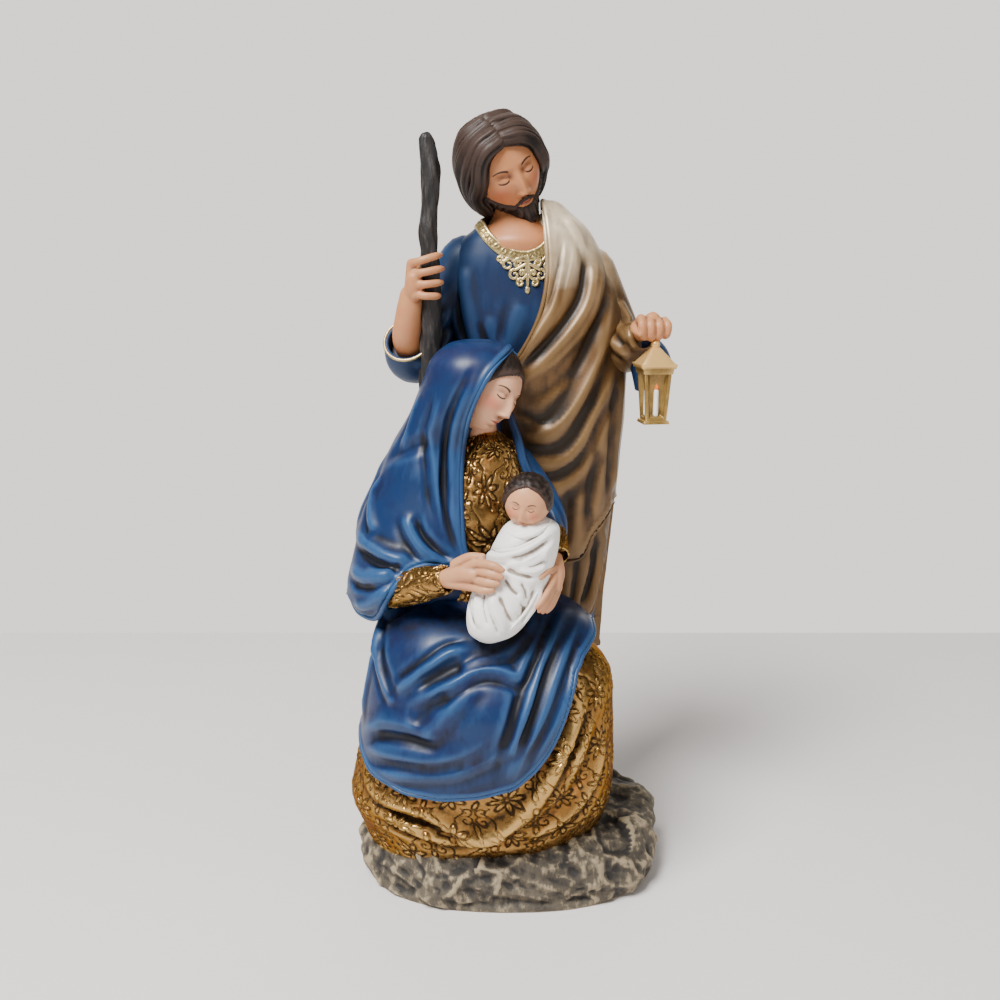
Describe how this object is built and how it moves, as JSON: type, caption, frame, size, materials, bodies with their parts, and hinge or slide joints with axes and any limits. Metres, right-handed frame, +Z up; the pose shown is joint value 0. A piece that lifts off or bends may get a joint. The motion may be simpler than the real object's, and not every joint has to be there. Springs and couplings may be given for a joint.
{
  "type": "holy family statuette",
  "caption": "Painted resin statuette: a standing bearded man with staff and lantern behind a seated veiled woman who holds a swaddled infant, on a craggy rock base.",
  "frame": {"origin": "middle of the flat underside of the rock base, on the surface it stands on", "axes": "+Z up; the figures face -Y; +X is the viewer's right, the lantern's side"},
  "size_m": [0.1263, 0.1093, 0.2989],
  "materials": {
    "blue_paint": "satin hand-painted resin",
    "gilt_paint": "pale gold metallic paint, satin",
    "tan_paint": "satin hand-painted resin, antiqued",
    "skin_paint": "matte hand-painted resin",
    "dark_paint": "satin hand-painted resin",
    "bronze_paint": "antiqued bronze-gold metallic paint",
    "white_paint": "matte hand-painted resin",
    "stone_paint": "matte, dry-brushed"
  },
  "bodies": {
    "root": {"holy_family": "blue_paint", "lantern": "gilt_paint"}
  },
  "joints": []
}
